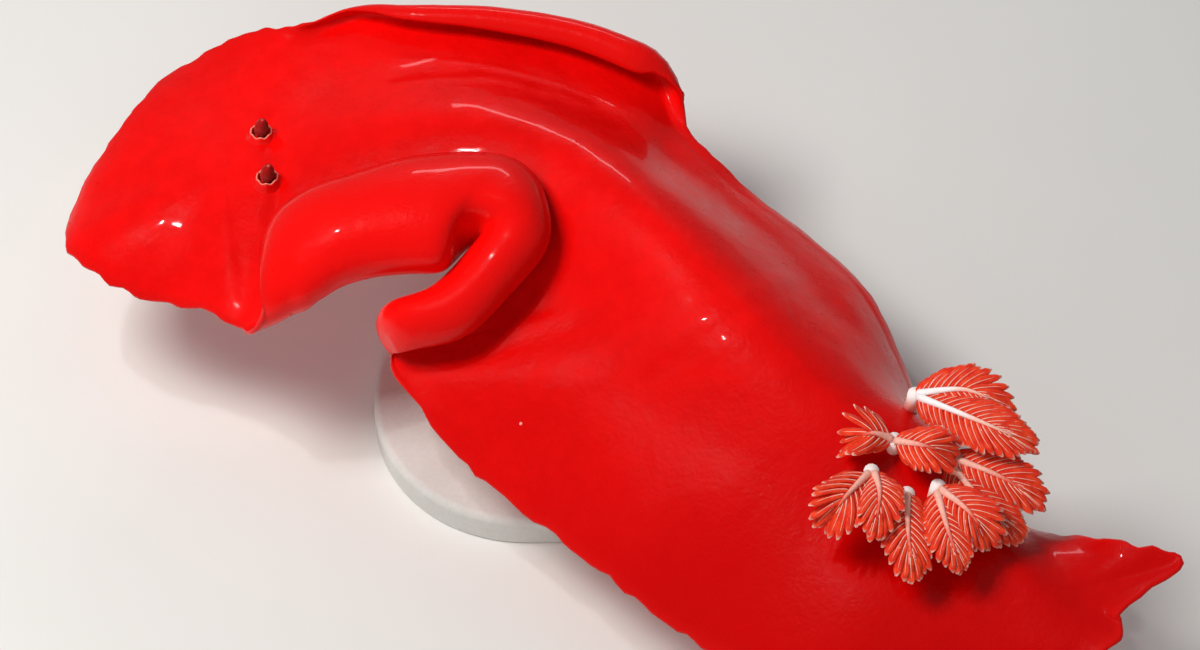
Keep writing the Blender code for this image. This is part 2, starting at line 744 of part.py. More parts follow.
# Both of a tube's ends lie flat, so a rod is a plain upright cylinder that stops under the sole.
def rod(name, x, y, ground, finish):
    turns = [math.tau * step / 16 for step in range(16)]
    disc = [(x + ROD_RADIUS * math.cos(turn), y + ROD_RADIUS * math.sin(turn)) for turn in turns]
    top = min(ground.height(*point, down=False) for point in disc) - JOIN_GAP
    bottom = BASE_HEIGHT + JOIN_GAP - SWIM_LEVEL
    return ringed(name, [[(*point, bottom) for point in disc], [(*point, top) for point in disc]], finish)


def base(name, finish):
    outline = []
    for corner in range(4):
        start = corner * math.pi / 2
        cx = (BASE_LENGTH / 2 - BASE_CORNER) * (1 if corner in (0, 3) else -1)
        cy = (BASE_DEPTH / 2 - BASE_CORNER) * (1 if corner in (0, 1) else -1)
        for step in range(9):
            turn = start + step * math.pi / 16
            outline.append((cx, cy, math.cos(turn), math.sin(turn)))
    rings = []
    for inset, height in ((0.6, 0), (0, 0.6), (0, BASE_HEIGHT - 2), (0.6, BASE_HEIGHT - 0.6), (2, BASE_HEIGHT)):
        radius = BASE_CORNER - inset
        level = height - SWIM_LEVEL
        rings.append([(cx + radius * c - POSE_X, cy + radius * s - POSE_Y, level) for cx, cy, c, s in outline])
    return ringed(name, rings, finish)


for thing in list(bpy.data.objects):
    bpy.data.objects.remove(thing)

SHARES = sorted(
    {round(0.036 * step, 4) for step in range(1, 9)}
    | {round(0.27 + 0.0225 * step, 4) for step in range(2, 15)}
    | {0.62, 0.7, 0.74, 0.78, 0.82, 0.86, 0.9, 0.94, 0.97}
    | {0.006, 0.013, 0.02, 0.05, 0.478, 0.484, 0.531, 0.547, 0.5515, 0.556, 0.57}
    | {HEAD_END, FRONT_END, MIDDLE_END, FOOT_FRONT_END, FOOT_MIDDLE_END}
)
FOOT_SHARES = set(SHARES[1::2])
FRONT_PLACES = [float(place) for place in np.linspace(FRONT_RIGHT, FRONT_LEFT + len(BRIM), 19)]
REAR_PLACES = [float(place) for place in np.linspace(REAR_LEFT, REAR_RIGHT, 7)]
LEFT_PLACES = placesOf("left", SHARES)
RIGHT_PLACES = placesOf("right", SHARES)[::-1]
ALL_PLACES = LEFT_PLACES + REAR_PLACES + RIGHT_PLACES + FRONT_PLACES

flesh = material("wet red skin", FLESH, 0.25, 0.6)
sole = material("darker red sole", FLESH_DARK, 0.35, 0.4)
gillFlesh = material("gill", GILL, 0.35, 0.4)
standPaint = material("stand paint", STAND, 0.5)
rodSteel = material("rod steel", STEEL, 0.3, metallic=1.0)

head = lofted("head", bodyStrips(0, HEAD_END, bodyHalf, lippedWall), flesh)
backFront = lofted("back_front", bodyStrips(HEAD_END, FRONT_END, bodyHalf, plainWall), flesh)
backMiddle = lofted("back_middle", bodyStrips(FRONT_END, MIDDLE_END, bodyHalf, plainWall), flesh)
backRear = lofted("back_rear", bodyStrips(MIDDLE_END, 1, bodyHalf, plainWall), flesh)
footFront = lofted("foot_front", bodyStrips(0, FOOT_FRONT_END, footHalf, None), sole)
footMiddle = lofted("foot_middle", bodyStrips(FOOT_FRONT_END, FOOT_MIDDLE_END, footHalf, None), sole)
tail = lofted("tail", bodyStrips(FOOT_MIDDLE_END, 1, footHalf, None), sole)

foldEnd, rearStart = placesOf("left", [0.6, 0.94])
rearEnd, rightFoldStart = placesOf("right", [0.94, 0.525])
FRONT_TURN = FRONT_LEFT + len(BRIM)
mantleBetween("mantle_front", FRONT_RIGHT, FRONT_TURN, 6, 3, flesh)
mantleBetween("mantle_left_fold", FRONT_LEFT, foldEnd, 4, 12, flesh)
mantleLeft = mantleBetween("mantle_left", foldEnd, rearStart, 6, 3, flesh)
mantleRear = mantleBetween("mantle_rear", rearStart, rearEnd, 6, 3, flesh)
mantleRight = mantleBetween("mantle_right", rearEnd, rightFoldStart, 6, 3, flesh)
mantleBetween("mantle_right_fold", rightFoldStart, FRONT_RIGHT, 5, 9, flesh)

nape = Surface(head, backFront)
rhinophore("rhinophore_right", -91, 63, nape, flesh)
rhinophore("rhinophore_left", -88.5, 48.5, nape, flesh)
for name, side in (("oral_tentacle_left", -1), ("oral_tentacle_right", 1)):
    oralTentacle(name, side, nape, flesh)

rump = Surface(backRear, mantleLeft, mantleRear, mantleRight)
for number, (stalk, plumes) in enumerate(GILLS, 1):
    gill(f"gill_{number}", stalk, plumes, rump, gillFlesh)

soles = Surface(footFront, footMiddle, tail)
base("stand_base", standPaint)
for name, (x, y) in RODS.items():
    rod(name, x, y, soles, rodSteel)
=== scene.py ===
# A Spanish dancer sea slug, wet and scarlet, in mid swim on a small museum stand.
# Shapes are worked out in millimetres above the animal's swimming level, as in the part's source.

import math
import random

import bmesh
import bpy
import numpy as np
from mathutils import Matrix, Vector, noise
from mathutils.bvhtree import BVHTree


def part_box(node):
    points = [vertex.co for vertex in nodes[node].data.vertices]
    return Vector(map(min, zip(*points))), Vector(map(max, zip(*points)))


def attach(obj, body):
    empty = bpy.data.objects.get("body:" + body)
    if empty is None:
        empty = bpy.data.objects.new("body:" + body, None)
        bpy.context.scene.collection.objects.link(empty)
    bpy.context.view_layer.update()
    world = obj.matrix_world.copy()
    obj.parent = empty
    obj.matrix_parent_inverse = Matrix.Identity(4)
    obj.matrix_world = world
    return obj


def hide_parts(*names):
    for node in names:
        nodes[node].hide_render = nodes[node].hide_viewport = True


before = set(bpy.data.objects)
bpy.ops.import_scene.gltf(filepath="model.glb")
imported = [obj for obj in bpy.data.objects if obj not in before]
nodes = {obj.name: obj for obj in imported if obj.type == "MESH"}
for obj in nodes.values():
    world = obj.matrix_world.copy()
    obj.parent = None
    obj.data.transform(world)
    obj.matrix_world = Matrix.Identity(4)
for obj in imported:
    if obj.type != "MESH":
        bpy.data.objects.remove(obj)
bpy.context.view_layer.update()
print("frame loaded:", len(nodes), "nodes")

# Camera and light

cameraSettings = {
    "target": (-0.002, -0.012, 0.050),
    "distance": 0.663,
    "elevation": 52.0,
    "lens": 85.0,
}
lightSettings = {
    "skyStrength": 0.2,
    "skyColour": (0.93, 0.97, 1.0),
    # each panel: place, the point it faces, size, power in watts, colour
    "panels": {
        "keySoftbox": ((-0.34, -0.04, 0.64), (-0.04, 0.01, 0.05), (0.24, 0.24), 3.7, (1.0, 0.98, 0.95)),
        "glint": ((-0.27, 0.02, 0.80), (-0.04, 0.02, 0.05), (0.028, 0.028), 0.6, (1.0, 1.0, 1.0)),
        "backStrip": ((0.02, 0.88, 0.53), (-0.04, 0.04, 0.05), (0.46, 0.07), 1.0, (1.0, 0.93, 0.97)),
        "frontFill": ((-0.20, -0.80, 0.45), (0.0, 0.0, 0.05), (0.60, 0.40), 1.7, (1.0, 0.97, 0.93)),
    },
    # the wet skin mirrors only the small light and the strip, not the broad panels
    "mirrored": ("glint", "backStrip"),
}


def aimed(made, place, target):
    made.location = place
    direction = Vector(target) - Vector(place)
    made.rotation_euler = direction.to_track_quat("-Z", "Y").to_euler()
    bpy.context.scene.collection.objects.link(made)
    return made


def makeCamera(settings):
    lens = bpy.data.cameras.new("camera")
    lens.lens = settings["lens"]
    lens.sensor_width = 36
    lens.clip_start = 0.01
    rise = math.radians(settings["elevation"])
    target = Vector(settings["target"])
    place = target + Vector((0, -math.cos(rise), math.sin(rise))) * settings["distance"]
    bpy.context.scene.camera = aimed(bpy.data.objects.new("camera", lens), place, target)


def makeLights(settings):
    world = bpy.data.worlds.new("studio")
    world.use_nodes = True
    bpy.context.scene.world = world
    sky = world.node_tree.nodes["Background"]
    sky.inputs["Color"].default_value = (*settings["skyColour"], 1)
    sky.inputs["Strength"].default_value = settings["skyStrength"]
    for name, (place, target, size, power, colour) in settings["panels"].items():
        light = bpy.data.lights.new(name, "AREA")
        light.shape = "RECTANGLE"
        light.size, light.size_y = size
        light.energy = power
        light.color = colour
        panel = aimed(bpy.data.objects.new(name, light), place, target)
        panel.visible_glossy = name in settings["mirrored"]


makeCamera(cameraSettings)
makeLights(lightSettings)
bpy.context.scene.view_settings.view_transform = "Standard"
print("camera and lights made")

# Materials: a small wrapper, so that shader maths reads as plain expressions


class Wire:
    def __init__(self, kit, socket):
        self.kit, self.socket = kit, socket

    def maths(self, operation, first, second):
        return self.kit.node("ShaderNodeMath", {"operation": operation}, {0: first, 1: second})

    def __add__(self, other):
        return self.maths("ADD", self, other)

    def __sub__(self, other):
        return self.maths("SUBTRACT", self, other)

    def __mul__(self, other):
        return self.maths("MULTIPLY", self, other)

    def __rsub__(self, other):
        return self.maths("SUBTRACT", other, self)

    __radd__ = __add__
    __rmul__ = __mul__


class MaterialKit:
    def __init__(self, name):
        self.material = bpy.data.materials.new(name)
        self.material.use_nodes = True
        self.tree = self.material.node_tree
        self.shader = self.tree.nodes["Principled BSDF"]

    # Any node: its type, its settings, the values or wires of its inputs, and which output is wanted.
    def node(self, kind, settings=None, values=None, output=0):
        made = self.tree.nodes.new(kind)
        for key, value in (settings or {}).items():
            setattr(made, key, value)
        for key, value in (values or {}).items():
            self.feed(made.inputs[key], value)
        return Wire(self, made.outputs[output])

    def feed(self, socket, value):
        if isinstance(value, Wire):
            self.tree.links.new(value.socket, socket)
        elif isinstance(value, tuple) and len(value) == 3 and socket.type == "RGBA":
            socket.default_value = (*value, 1)
        else:
            socket.default_value = value

    def place(self):
        return self.node("ShaderNodeTexCoord", output="Object")

    # Noise on the object's own coordinates, with the size of its grain in millimetres.
    def noise(self, grain, detail=2.0, roughness=0.5, distortion=0.0):
        scale = 1000.0 / grain
        values = {"Vector": self.place(), "Scale": scale, "Detail": detail}
        values |= {"Roughness": roughness, "Distortion": distortion}
        return self.node("ShaderNodeTexNoise", {}, values)

    def attribute(self, name):
        return self.node("ShaderNodeAttribute", {"attribute_name": name}, {}, "Fac")

    # A value that rises smoothly from 0 at start to 1 at end.
    def ease(self, value, start, end):
        settings = {"interpolation_type": "SMOOTHSTEP"}
        return self.node("ShaderNodeMapRange", settings, {"Value": value, "From Min": start, "From Max": end})

    # Two colours mixed: the Mix node's sockets for colours are inputs 6 and 7 and output 2.
    def mix(self, first, second, share):
        return self.node("ShaderNodeMix", {"data_type": "RGBA"}, {0: share, 6: first, 7: second}, 2)

    # Bumps of this depth in millimetres.
    def bump(self, height, depth):
        return self.node("ShaderNodeBump", {}, {"Height": height, "Distance": depth * 0.001, "Strength": 1.0})

    def finish(self, **values):
        for key, value in values.items():
            self.feed(self.shader.inputs[key.replace("_", " ")], value)
        return self.material


fleshSettings = {
    "scarlet": (0.86, 0.0022, 0.0018),
    "deepRed": (0.52, 0.0004, 0.0004),
    "belly": (0.82, 0.0026, 0.0020),
    "rim": (0.62, 0.004, 0.003),
    "speck": (0.95, 0.55, 0.45),
    "roughness": 0.27,
    # grain sizes in millimetres
    "broadGrain": 55,
    "mottleGrain": 5.5,
    "speckSpacing": 9.0,
    "dimpleGrain": 3.2,
    "fineGrain": 0.9,
    "bumpDepth": 0.22,
    # painted shade: where the far left side turns darker, away from the light: from and to these places
    # across the body, in metres
    "shade": (-0.085, 0.0),
}


def makeFlesh(settings):
    kit = MaterialKit("wet scarlet skin")
    broad = kit.ease(kit.noise(settings["broadGrain"], 3, 0.5, 0.4), 0.35, 0.68)
    mottle = kit.ease(kit.noise(settings["mottleGrain"], 4, 0.6), 0.35, 0.7)
    colour = kit.mix(settings["deepRed"], settings["scarlet"], 0.5 + 0.32 * broad + 0.18 * mottle)
    sideways = kit.node("ShaderNodeSeparateXYZ", {}, {"Vector": kit.place()}, "Y")
    # painted shade: the skin turns deep red towards the far left side
    colour = kit.mix(colour, settings["deepRed"], 0.9 * (1 - kit.ease(sideways, *settings["shade"])))
    colour = kit.mix(colour, settings["belly"], kit.attribute("under"))
    edge = kit.ease(kit.attribute("edge"), 0.55, 1.0)
    colour = kit.mix(colour, settings["rim"], 0.6 * edge)
    cells = kit.node(
        "ShaderNodeTexVoronoi",
        {"feature": "F1"},
        {"Vector": kit.place(), "Scale": 1000 / settings["speckSpacing"], "Randomness": 1.0},
        "Distance",
    )
    sparse = kit.ease(kit.noise(14, 1), 0.6, 0.64)
    specks = (1 - kit.ease(cells, 0.03, 0.055)) * sparse
    colour = kit.mix(colour, settings["speck"], 0.75 * specks)
    grain = kit.noise(settings["fineGrain"], 3, 0.6)
    dimples = kit.noise(settings["dimpleGrain"], 2, 0.5)
    bump = kit.bump(grain * 0.35 + dimples * 0.65 + specks * 0.5, settings["bumpDepth"])
    wet = settings["roughness"] + 0.12 * mottle
    return kit.finish(
        Base_Color=colour,
        Roughness=wet,
        Normal=bump,
        IOR=1.18,
        Coat_Weight=0.45,
        Coat_Roughness=0.05,
        Coat_IOR=1.3,
        Subsurface_Weight=0.04,
        Subsurface_Radius=(1.0, 0.12, 0.08),
        Subsurface_Scale=0.003,
    )


gillSettings = {
    "membrane": (0.86, 0.060, 0.018),
    "deep": (0.66, 0.012, 0.006),
    "pale": (0.95, 0.56, 0.46),
    "white": (0.95, 0.90, 0.90),
    "blotchGrain": 2.2,
    "fineGrain": 0.7,
    "bumpGrain": 0.5,
    "bumpDepth": 0.06,
}


def makeGillFlesh(settings):
    kit = MaterialKit("gill")
    blotch = kit.ease(kit.noise(settings["blotchGrain"], 3, 0.6), 0.35, 0.65)
    colour = kit.mix(settings["deep"], settings["membrane"], 0.35 + 0.65 * blotch)
    pale = kit.attribute("pale")
    fine = kit.noise(settings["fineGrain"], 2, 0.6)
    colour = kit.mix(colour, settings["pale"], kit.ease(pale + 0.25 * (fine - 0.5), 0.25, 0.75))
    colour = kit.mix(colour, settings["white"], kit.ease(pale, 0.8, 1.0))
    bump = kit.bump(kit.noise(settings["bumpGrain"], 2, 0.6), settings["bumpDepth"])
    return kit.finish(
        Base_Color=colour,
        Roughness=0.32 + 0.12 * blotch,
        Normal=bump,
        IOR=1.25,
        Coat_Weight=0.25,
        Coat_Roughness=0.12,
        Subsurface_Weight=0.15,
        Subsurface_Radius=(1.0, 0.3, 0.2),
        Subsurface_Scale=0.001,
    )


organSettings = {
    # deep: the painted shade of the rhinophores' clubs and the floors of their cups
    "deep": (0.30, 0.002, 0.002),
    "red": (0.82, 0.004, 0.003),
    "pale": (0.95, 0.30, 0.22),
    "fineGrain": 1.4,
    "bumpGrain": 0.6,
    "bumpDepth": 0.08,
}


def makeOrganFlesh(settings):
    kit = MaterialKit("rhinophore and tentacle skin")
    fine = kit.noise(settings["fineGrain"], 3, 0.6)
    # painted shade: the rhinophores' clubs and the floors of their cups turn deep red
    colour = kit.mix(settings["red"], settings["deep"], kit.attribute("dark") * 0.85 + 0.15 * fine)
    rim = kit.ease(kit.attribute("pale") + 0.3 * (fine - 0.5), 0.3, 0.9)
    colour = kit.mix(colour, settings["pale"], rim)
    bump = kit.bump(kit.noise(settings["bumpGrain"], 2, 0.6), settings["bumpDepth"])
    return kit.finish(
        Base_Color=colour,
        Roughness=0.3,
        Normal=bump,
        IOR=1.3,
        Coat_Weight=0.3,
        Coat_Roughness=0.1,
    )


standSettings = {
    "paint": (0.70, 0.69, 0.66),
    "worn": (0.60, 0.585, 0.555),
    "steel": (0.56, 0.56, 0.55),
    "cloudGrain": 30,
    "paintGrain": 1.1,
    # the brushing is 9 times finer along the rod than round it
    "brushing": (1.0, 1.0, 9.0),
}


def makeStandPaint(settings):
    kit = MaterialKit("satin stand paint")
    cloud = kit.noise(settings["cloudGrain"], 3, 0.5)
    grain = kit.noise(settings["paintGrain"], 3, 0.7)
    colour = kit.mix(settings["worn"], settings["paint"], kit.ease(cloud * 0.7 + grain * 0.3, 0.3, 0.6))
    bump = kit.bump(grain, 0.05)
    return kit.finish(Base_Color=colour, Roughness=0.42 + 0.14 * grain, Normal=bump, Coat_Weight=0.1)


def makeRodSteel(settings):
    kit = MaterialKit("brushed rod")
    stretched = kit.node("ShaderNodeMapping", {}, {"Vector": kit.place(), "Scale": settings["brushing"]})
    brushing = kit.node("ShaderNodeTexNoise", {}, {"Vector": stretched, "Scale": 900.0, "Detail": 3.0})
    return kit.finish(
        Base_Color=settings["steel"],
        Metallic=1.0,
        Roughness=0.26 + 0.2 * brushing,
        Normal=kit.bump(brushing, 0.02),
    )


flesh = makeFlesh(fleshSettings)
gillFlesh = makeGillFlesh(gillSettings)
organFlesh = makeOrganFlesh(organSettings)
standPaint = makeStandPaint(standSettings)
rodSteel = makeRodSteel(standSettings)
print("materials made")

# The animal's surface. Every size is in millimetres.

bodySettings = {
    "swimLevel": 50.0,
    "poseX": 6.0,
    "poseY": -20.0,
    # the midline of the back from nape to tail: x, y, height, hump above it, half width, height of the belly
    "spine": [
        (-99, 54, 3, 1.0, 12.0, -10),
        (-78, 58, 5, 3.0, 12.0, -11),
        (-57, 61, 7, 5.5, 12.0, -12),
        (-35, 59, 8, 7.0, 12.0, -13),
        (-13, 47, 8, 8.0, 13.0, -14),
        (7, 26, 7, 8.5, 15.0, -15),
        (27, 1, 5, 7.5, 15.5, -16),
        (44, -18, 3, 5.5, 12.0, -17),
        (62, -33, 1, 3.5, 9.5, -17),
        (77, -50, -1, 2.5, 6.5, -15),
        (90, -65, -2, 1.0, 4.0, -12),
    ],
    # where the margin begins, once round from the middle of the front: x, y, height, share of the midline
    "brim": [
        (-131, 41, -3, 0),
        (-123, 32, -4, 0),
        (-112, 27, -4, 0),
        (-101, 21.5, -4, 0),
        (-93, 16, -3, 0),
        (-87, 13.5, -1, 0.03),
        (-82.5, 17.5, 1, 0.055),
        (-78, 22, 3, 0.10),
        (-70, 26, 5, 0.17),
        (-58, 29, 6, 0.23),
        (-46, 31, 6, 0.285),
        (-35, 33, 6, 0.34),
        (-28, 25, 4, 0.41),
        (-34, 16, 1, 0.475),
        (-43.5, 8, -3, 0.52),
        (-56, 5, -6, 0.55),
        (-52, -2, -9.5, 0.565),
        (-42, -9.5, -13, 0.585),
        (-28, -22, -15, 0.63),
        (-10, -38, -16, 0.68),
        (7, -53, -16, 0.735),
        (24, -65, -15, 0.79),
        (44, -75, -13, 0.855),
        (67, -80, -10, 0.925),
        (87, -79, -6, 0.98),
        (98, -73, -3, 1),
        (102, -67.5, 0, 1),
        (117, -60.5, 2.5, 1),
        (103, -56, 0.5, 1),
        (91, -48, -4.5, 0.96),
        (83.5, -37, -13, 0.90),
        (76, -24, -19, 0.82),
        (67.5, -6, -17, 0.75),
        (55.5, 25, -11, 0.68),
        (41.5, 42.5, -8, 0.61),
        (23, 56, -5, 0.54),
        (11, 71, -2, 0.49),
        (6.5, 82, 1, 0.465),
        (-1, 86, 4, 0.44),
        (-16, 92, 6, 0.38),
        (-36, 96, 7, 0.30),
        (-56, 98, 7, 0.21),
        (-71, 100, 6, 0.14),
        (-84, 93, 5, 0.08),
        (-98, 91.5, 3, 0),
        (-111.5, 84, 1, 0),
        (-120, 70, -1, 0),
        (-129, 55, -2, 0),
    ],
    # the places in brim where each side begins at the front and ends at the rear
    "corners": {"left": (4, 25), "right": (44, 28)},
    # the margin by its place in brim: width, curl in degrees, how much wider than high the curl is
    "margin": [
        (0, 8, -20, 1.0),
        (4.3, 5, -10, 1.0),
        (4.9, 13, 150, 1.0),
        (5.6, 27, 235, 1.1),
        (6.4, 38, 248, 1.25),
        (7.4, 42, 250, 1.3),
        (8.5, 43, 250, 1.3),
        (10.0, 48, 250, 1.35),
        (11.0, 45, 256, 1.3),
        (11.7, 38, 264, 1.05),
        (12.6, 31, 270, 0.95),
        (14.0, 30, 270, 1.0),
        (14.5, 29, 270, 1.0),
        (14.75, 26.5, 268, 1.0),
        (14.93, 22, 264, 1.0),
        (15.05, 16, 256, 1.0),
        (15.13, 10, 245, 1.0),
        (15.19, 5, 220, 1.0),
        (15.3, 1.6, 120, 1.0),
        (15.6, 1.5, 20, 1.0),
        (16.2, 2, 5, 1.0),
        (17.0, 6, -12, 1.0),
        (21.0, 8, -15, 1.0),
        (25.0, 7, 10, 1.0),
        (26.2, 3.5, 8, 1.0),
        (27.0, 1.6, 5, 1.0),
        (29.0, 5, -10, 1.0),
        (31.0, 5, -20, 1.0),
        (33.5, 4, -20, 1.0),
        (35.0, 4.5, -5, 1.0),
        (36.0, 3, 20, 1.0),
        (36.8, 9, 170, 1.0),
        (37.7, 15.5, 245, 1.0),
        (39.0, 14.5, 250, 1.0),
        (41.0, 10, 220, 1.0),
        (42.5, 4, 120, 1.0),
        (43.5, 6, 10, 1.0),
        (45.0, 9, -15, 1.0),
        (48, 8, -20, 1.0),
    ],
    # how far the mantle rises as a round shoulder into the roll, by its place in brim
    "shoulder": [
        (0, 0),
        (3.5, 0),
        (6, 1),
        (14.5, 1),
        (17.5, 0),
        (34.5, 0),
        (38, 1),
        (41, 1),
        (44, 0),
        (48, 0),
    ],
    # which way the left margin faces where it is rolled, in degrees, by its place in brim
    "rollBearing": [
        (5, 292),
        (6, 298),
        (7, 292),
        (8, 287),
        (9, 284),
        (10, 270),
        (11, 229),
        (12, 165),
        (13, 131),
        (14, 127),
        (15, 130),
    ],
    # the places in brim between which the margin turns to that bearing, and those where it turns back
    "rollBegins": (4.2, 5),
    "rollEnds": (15.2, 16),
    # the flat margin's waves: height, and how many there are once round
    "ruffle": (1.2, 18),
    # how far out the hump of the back reaches, in half widths
    "humpReach": 2.3,
    # how thick the mantle is where it leaves the body, at the brim and at the edge
    "thickness": (4.5, 2.2, 1.2),
    # the most of a roll's radius that its thickness may take up
    "tightestRoll": 0.42,
    # how finely the brim is searched for the places of given shares
    "brimSamples": 900,
}


def smooth(start, end, value):
    share = min(max((value - start) / (end - start), 0.0), 1.0)
    return share * share * (3 - 2 * share)


def unit(vector):
    return vector / np.linalg.norm(vector)


# A smooth curve through the rows of a table. A closed table runs on past its end.
def passing(table, place, closed=False):
    count = len(table)
    first = math.floor(place) if closed else min(max(int(place), 0), count - 2)
    share = place - first
    picks = [first - 1, first, first + 1, first + 2]
    if closed:
        picks = [pick % count for pick in picks]
    else:
        picks = [min(max(pick, 0), count - 1) for pick in picks]
    before, start, end, after = (table[pick] for pick in picks)
    return (
        start
        + 0.5 * share * (end - before)
        + share**2 * (before - 2.5 * start + 2 * end - 0.5 * after)
        + 0.5 * share**3 * (after - before + 3 * (start - end))
    )


# The slope of a keyed table's column at a key: level at a peak or a dip, so that nothing overshoots.
def slopeAt(table, index, column):
    if index in (0, len(table) - 1):
        return 0.0
    before, here, after = table[index - 1 : index + 2]
    first = (here[column] - before[column]) / (here[0] - before[0])
    second = (after[column] - here[column]) / (after[0] - here[0])
    return 0.0 if first * second <= 0 else 2 * first * second / (first + second)


# The values of a keyed table at a place, on one smooth curve through the keys.
def keyed(table, place):
    index = 0
    while index < len(table) - 2 and table[index + 1][0] <= place:
        index += 1
    start, end = table[index], table[index + 1]
    span = end[0] - start[0]
    share = min(max((place - start[0]) / span, 0.0), 1.0)
    rise = share * share * (3 - 2 * share)
    values = []
    for column in range(1, len(start)):
        leaving = slopeAt(table, index, column) * span * share * (1 - share) ** 2
        arriving = slopeAt(table, index + 1, column) * span * share**2 * (1 - share)
        values.append(start[column] + (end[column] - start[column]) * rise + leaving - arriving)
    return values


spine = [np.array(row, float) for row in bodySettings["spine"]]
brim = [np.array(row, float) for row in bodySettings["brim"]]


# One line of the mantle, from the midline out over the brim to the edge.
class Ray:
    def __init__(self, place, share=None):
        self.place = place = place % len(brim)
        x, y, level, own = passing(brim, place, closed=True)
        self.share = min(max(own if share is None else share, 0.0), 1.0)
        back = passing(spine, self.share * (len(spine) - 1))
        self.start = back[:2]
        self.height, self.hump, self.halfWidth, self.belly = back[2:]
        self.width, angle, self.stretch = keyed(bodySettings["margin"], place)
        self.curl = math.radians(angle if abs(angle) > 0.1 else 0.1)
        self.rolled = keyed(bodySettings["shoulder"], place)[0]
        wave, waves = bodySettings["ruffle"]
        self.level = level + (1 - self.rolled) * wave * math.sin(waves * place * math.tau / len(brim))
        span = np.array([x, y]) - self.start
        self.length = float(np.hypot(*span))
        self.along = span / self.length
        self.drop = self.height - self.level
        # a steep flank stays level for longer before it falls
        self.steepness = 2 + 2 * smooth(0.5, 1.2, self.drop / self.length)
        self.facing = self.facingOf()

    # Which way the margin faces: square to the brim, or as given where the left side is rolled.
    def facingOf(self):
        near = 0.3
        ahead = passing(brim, self.place + near, closed=True) - passing(brim, self.place - near, closed=True)
        square = math.degrees(math.atan2(-ahead[0], ahead[1]))
        given = keyed(bodySettings["rollBearing"], self.place)[0]
        weight = smooth(*bodySettings["rollBegins"], self.place)
        weight *= 1 - smooth(*bodySettings["rollEnds"], self.place)
        turned = math.radians(square + weight * ((given - square + 180) % 360 - 180))
        return np.array([math.cos(turned), math.sin(turned)])

    # A point of the upper face. Rows 0 to 1 run from the midline to the brim, and 1 to 2 across the margin.
    def at(self, row):
        reach = min(row, 1.0)
        away = reach * self.length
        fall = (1 - self.rolled) * (1 - reach**self.steepness)
        fall += self.rolled * math.cos(reach * math.pi / 2) ** 2
        hump = self.hump * (1 - smooth(0, bodySettings["humpReach"] * self.halfWidth, away))
        flat = self.start + self.along * away
        base = np.array([flat[0], flat[1], self.level + self.drop * fall + hump])
        if row <= 1:
            return base
        slope = math.atan2(-self.steepness * (1 - self.rolled) * self.drop, self.length)
        fx, fy = self.facing
        outward = np.array([fx * math.cos(slope), fy * math.cos(slope), math.sin(slope)])
        upward = np.array([-fx * math.sin(slope), -fy * math.sin(slope), math.cos(slope)])
        turn = self.curl * (row - 1)
        wide = self.stretch * self.width / self.curl
        high = self.width / (self.stretch * self.curl)
        return base + outward * wide * math.sin(turn) + upward * high * (1 - math.cos(turn))

    # The row above the side of the body, where the mantle leaves it.
    def wallRow(self):
        return min(self.halfWidth, 0.8 * self.length) / self.length

    def thickness(self, row):
        root, atBrim, atEdge = bodySettings["thickness"]
        tight = bodySettings["tightestRoll"] * self.width / abs(self.curl)
        if row > 1:
            return min(atBrim + (atEdge - atBrim) * (row - 1), tight)
        share = (row - self.wallRow()) / (1 - self.wallRow())
        root = min(root, 0.25 * self.length)
        return root + (min(atBrim, tight) - root) * smooth(0, 0.8, share)


# The places on one side of the brim where the mantle grows from these shares of the midline.
def placesOf(side, shares):
    count = bodySettings["brimSamples"]
    places = np.linspace(*bodySettings["corners"][side], count)
    found = np.maximum.accumulate([Ray(place).share for place in places]) + np.arange(count) * 1e-9
    return [float(place) for place in np.interp(shares, found, places)]


# From millimetres in the animal's own place to metres in the scene.
def lifted(points):
    x, y, z = bodySettings["poseX"], bodySettings["poseY"], bodySettings["swimLevel"]
    return (np.asarray(points, float) + (x, y, z)) * 0.001


# Puts a finished mesh in the scene, smooth, with its material.
def meshed(shape, name, finish, near=2e-6):
    bmesh.ops.remove_doubles(shape, verts=shape.verts, dist=near)
    bmesh.ops.dissolve_degenerate(shape, edges=shape.edges, dist=1e-7)
    bmesh.ops.recalc_face_normals(shape, faces=shape.faces)
    mesh = bpy.data.meshes.new(name)
    shape.to_mesh(mesh)
    shape.free()
    mesh.shade_smooth()
    mesh.materials.append(finish)
    made = bpy.data.objects.new(name, mesh)
    bpy.context.scene.collection.objects.link(made)
    return made


reliefSettings = {
    # furrows and low wrinkles of the back: depth, half width, and the points that each passes
    "lines": [
        (-1.1, 1.5, [(-90, 68), (-87.3, 56), (-85.5, 43), (-86.5, 37)]),
        (0.22, 1.1, [(-10, -7), (1, -6), (24.6, 5), (37, 21)]),
        (0.12, 1.0, [(2, -12), (22, -5), (38, 9), (45, 20)]),
        (-0.12, 1.2, [(-4, -1), (14, 4), (29, 15)]),
        (0.25, 1.0, [(-60, 76), (-35, 78), (-12, 72)]),
    ],
    # soft unevenness: height, and the width of its swells
    "unevenness": [(0.45, 26.0), (0.11, 9.0), (0.05, 3.0)],
    # the flat margin's fine notches: depth, width, and how much more they cut in than stand out
    "notches": (1.3, 4.5, 0.3),
}


# How far the back stands out at a place, for its furrows, wrinkles and soft unevenness.
def relief(point):
    x, y = point[:2]
    height = 0.0
    for depth, wide, path in reliefSettings["lines"]:
        reach = 4 * wide
        for start, end in zip(path, path[1:]):
            run = (end[0] - start[0], end[1] - start[1])
            length = math.hypot(*run)
            along = ((x - start[0]) * run[0] + (y - start[1]) * run[1]) / length
            away = ((x - start[0]) * run[1] - (y - start[1]) * run[0]) / length
            if -reach < away < reach and -reach < along < length + reach:
                beyond = max(-along, along - length, 0)
                fade = math.exp(-(beyond**2 + away**2) / (2 * wide**2))
                height = max(height, depth * fade, key=abs)
    for deep, wide in reliefSettings["unevenness"]:
        height += deep * noise.noise(Vector(point) / wide)
    return height


